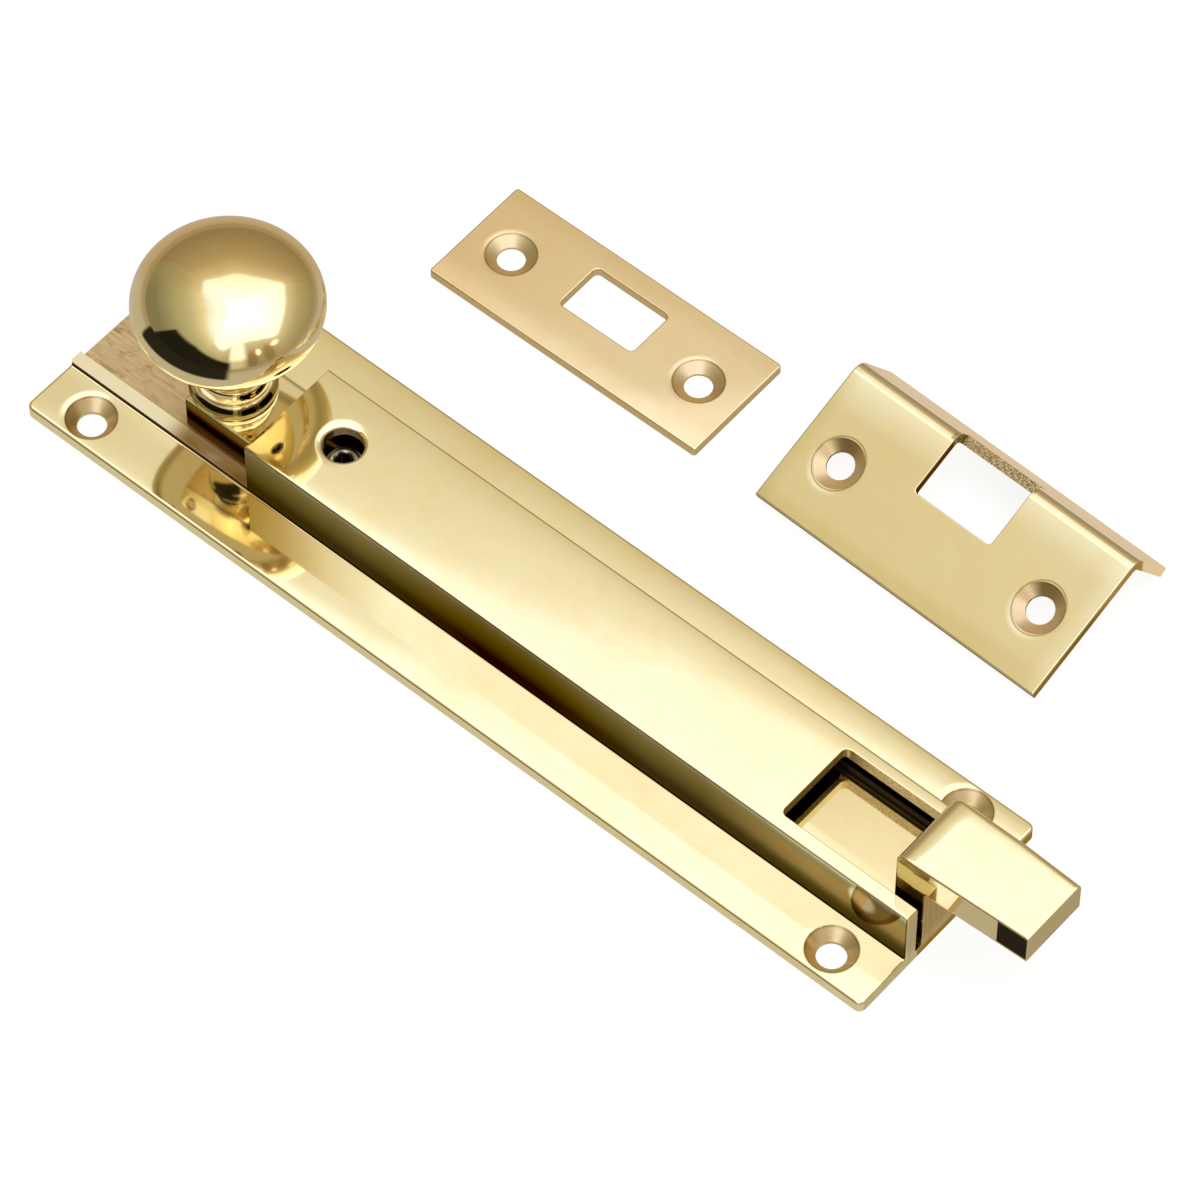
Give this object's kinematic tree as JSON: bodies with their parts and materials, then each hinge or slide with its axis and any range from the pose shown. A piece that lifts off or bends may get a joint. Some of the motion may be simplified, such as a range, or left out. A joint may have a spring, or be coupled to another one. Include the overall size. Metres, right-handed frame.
{
  "type": "barrel bolt",
  "caption": "Polished brass surface bolt: flanged housing, cranked sliding bolt with a domed knob, a flat mortice keep and an angled rim keep.",
  "frame": {"origin": "middle of the housing's flat mounting face, in length and in width, on the surface it is screwed to", "axes": "+X along the bolt towards its head, +Y across the housing towards the keeps, +Z away from the door"},
  "size_m": [0.1686, 0.0843, 0.0353],
  "materials": {
    "housing_brass": "polished",
    "bolt_brass": "polished",
    "knob_brass": "mirror polished",
    "collar_brass": "polished",
    "screw_steel": "plain",
    "socket_steel": "plain",
    "spring_bronze": "rolled strip",
    "rivet_brass": "plain",
    "mortice_keep_brass": "satin",
    "rim_keep_brass": "satin"
  },
  "bodies": {
    "housing": {"body": "housing_brass"},
    "bolt": {"bolt_bar": "bolt_brass", "knob": "knob_brass", "knob_collar": "collar_brass", "knob_screw": "screw_steel", "friction_spring": "spring_bronze", "spring_rivets": "rivet_brass"},
    "stop": {"stop_screw": "socket_steel"},
    "flat_keep": {"mortice_keep": "mortice_keep_brass"},
    "angle_keep": {"rim_keep": "rim_keep_brass"}
  },
  "joints": [
    {"name": "bolt_slide", "type": "slide", "parent": "housing", "child": "bolt", "axis": [1, 0, 0], "range_m": [-0.017, 0]},
    {"name": "stop_screw_lift", "type": "slide", "parent": "bolt", "child": "stop", "axis": [0, 0, 1], "range_m": [0, 0.0017]},
    {"name": "mortice_keep_lift", "type": "slide", "parent": "housing", "child": "flat_keep", "axis": [0, 0, 1], "range_m": [0, 0.03]},
    {"name": "rim_keep_lift", "type": "slide", "parent": "housing", "child": "angle_keep", "axis": [0, 0, 1], "range_m": [0, 0.03]}
  ]
}
